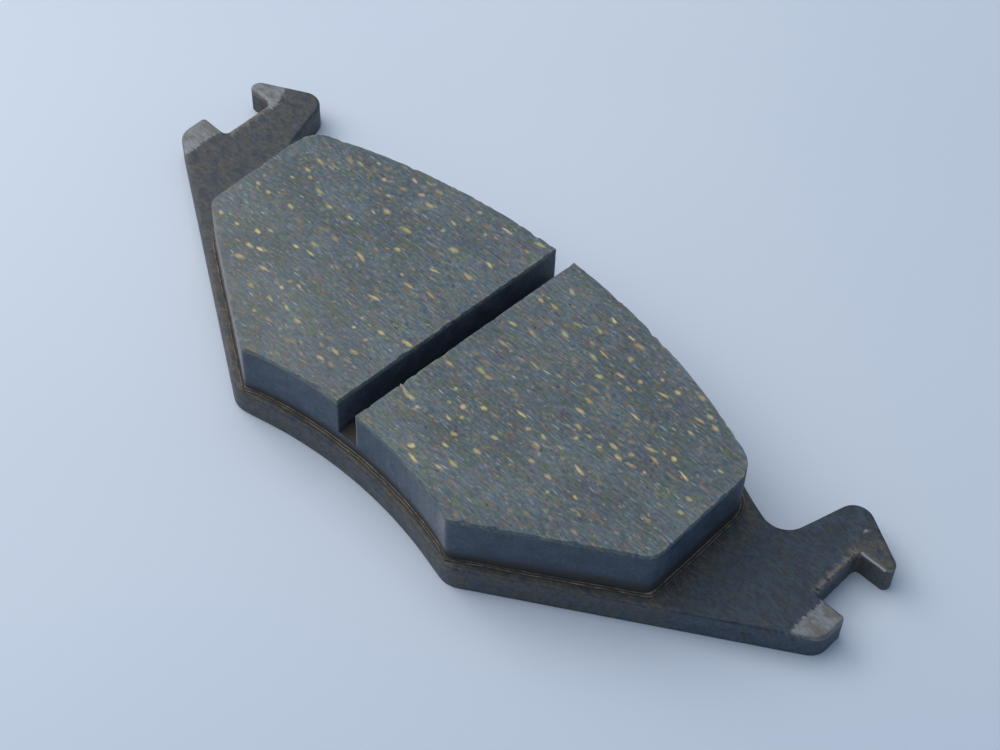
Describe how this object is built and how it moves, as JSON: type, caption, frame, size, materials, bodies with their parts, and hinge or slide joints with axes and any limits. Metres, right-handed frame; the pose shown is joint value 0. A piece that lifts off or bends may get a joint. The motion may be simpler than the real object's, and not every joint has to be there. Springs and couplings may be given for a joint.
{
  "type": "disc brake pad",
  "caption": "Disc brake pad: notched steel backing plate with two blocks of friction material on a keyed underlayer, parted by a slanted slot.",
  "frame": {"origin": "on the plate's flat back face, at the middle of the pad's outline", "axes": "+X along the pad from notch to notch, +Y radially outward on the axle, +Z out of the friction face towards the disc"},
  "size_m": [0.137, 0.0505, 0.015],
  "materials": {
    "plate_steel": "dark baked coating, worn to bare grey steel on the arms of the ears",
    "bond_coat": "dull brown resin with a thin squeezed-out edge",
    "underlayer_compound": "rough dark brown moulded compound",
    "friction_material": "ground grey moulded compound with brass chips and pale fibres"
  },
  "bodies": {
    "root": {"backing_plate": "plate_steel", "adhesive_film": "bond_coat", "underlayer": "underlayer_compound", "friction_block_left": "friction_material", "friction_block_right": "friction_material"}
  },
  "joints": []
}
